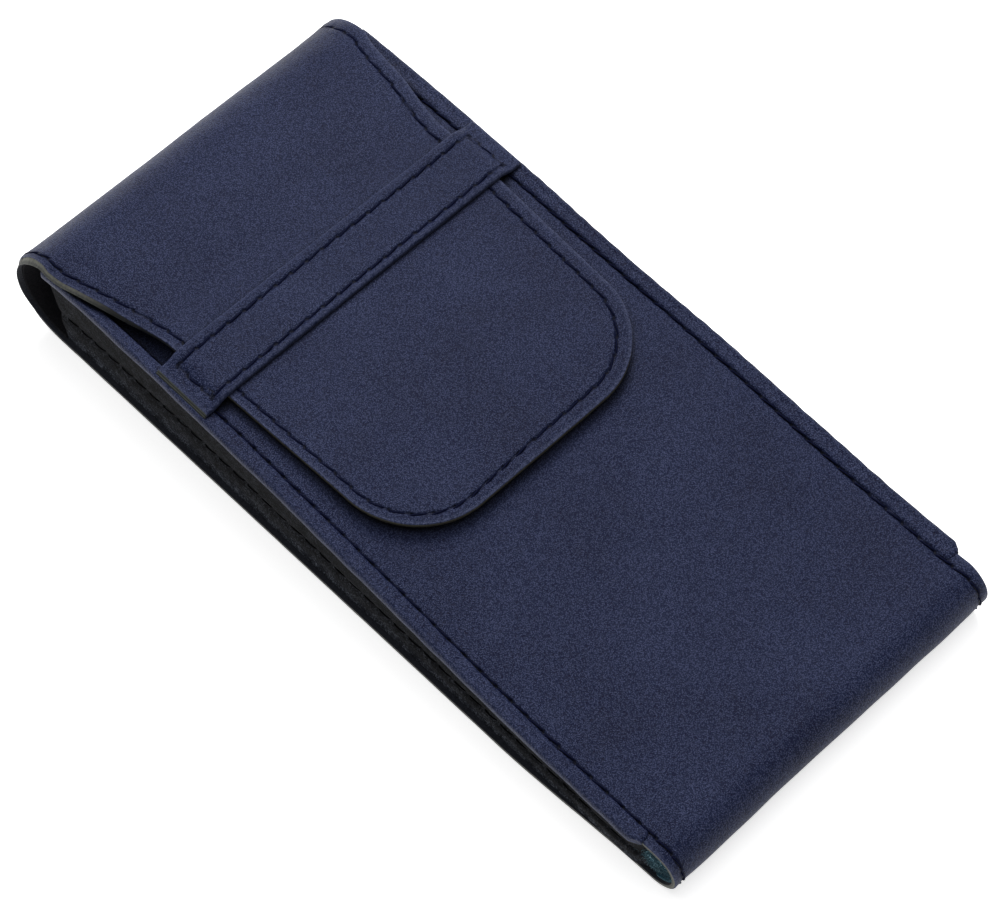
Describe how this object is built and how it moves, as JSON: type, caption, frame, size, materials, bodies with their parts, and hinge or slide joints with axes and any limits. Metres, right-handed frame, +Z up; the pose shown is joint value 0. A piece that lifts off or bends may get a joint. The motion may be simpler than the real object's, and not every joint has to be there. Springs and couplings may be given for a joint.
{
  "type": "brush pouch",
  "caption": "Flat leather pouch for brushes, with side gussets, a rolled top fold and a flap whose rounded tongue tucks under a strap.",
  "frame": {"origin": "under the middle of the back panel, on the face the case lies on", "axes": "+X to the right, +Y along the case towards the rolled top fold, +Z up out of the front"},
  "size_m": [0.0948, 0.2, 0.0293],
  "materials": {
    "navy_leather": "satin, fine grain",
    "charcoal_suede": "suede, matt",
    "teal_velour": "velour pile",
    "navy_thread": "waxed thread"
  },
  "bodies": {
    "case": {"outer_leather": "navy_leather", "velour_lining": "teal_velour", "hem_left": "navy_leather", "hem_right": "navy_leather", "gusset_left": "charcoal_suede", "gusset_right": "charcoal_suede", "strap": "navy_leather", "strap_seam": "navy_thread", "front_seam_left": "navy_thread", "front_seam_right": "navy_thread"},
    "fold_lower": {"fold_lower_leather": "navy_leather", "fold_lower_facing": "charcoal_suede", "fold_lower_seam_left": "navy_thread", "fold_lower_seam_right": "navy_thread"},
    "fold_upper": {"fold_upper_leather": "navy_leather", "fold_upper_facing": "charcoal_suede", "fold_upper_seam_left": "navy_thread", "fold_upper_seam_right": "navy_thread"},
    "flap": {"flap_leather": "navy_leather", "flap_facing": "charcoal_suede", "flap_seam_left": "navy_thread", "flap_seam_right": "navy_thread", "tongue_leather": "navy_leather", "tongue_facing": "charcoal_suede", "tongue_seam": "navy_thread"}
  },
  "joints": [
    {"name": "flap_open", "type": "hinge", "parent": "case", "child": "fold_lower", "pos_m": [0, 0.086, 0], "axis": [-1, 0, 0], "range_deg": [0, 25]},
    {"name": "fold_unroll_middle", "type": "hinge", "parent": "fold_lower", "child": "fold_upper", "pos_m": [0, 0.0997, 0.0145], "axis": [-1, 0, 0], "range_deg": [0, 70]},
    {"name": "fold_unroll_upper", "type": "hinge", "parent": "fold_upper", "child": "flap", "pos_m": [0, 0.086, 0.029], "axis": [-1, 0, 0], "range_deg": [0, 65], "deforming": ["tongue_leather", "tongue_facing", "tongue_seam"]}
  ],
  "couplings": [
    {"joint": "fold_unroll_middle", "follows": "flap_open", "ratio": 2.8},
    {"joint": "fold_unroll_upper", "follows": "flap_open", "ratio": 2.6}
  ]
}
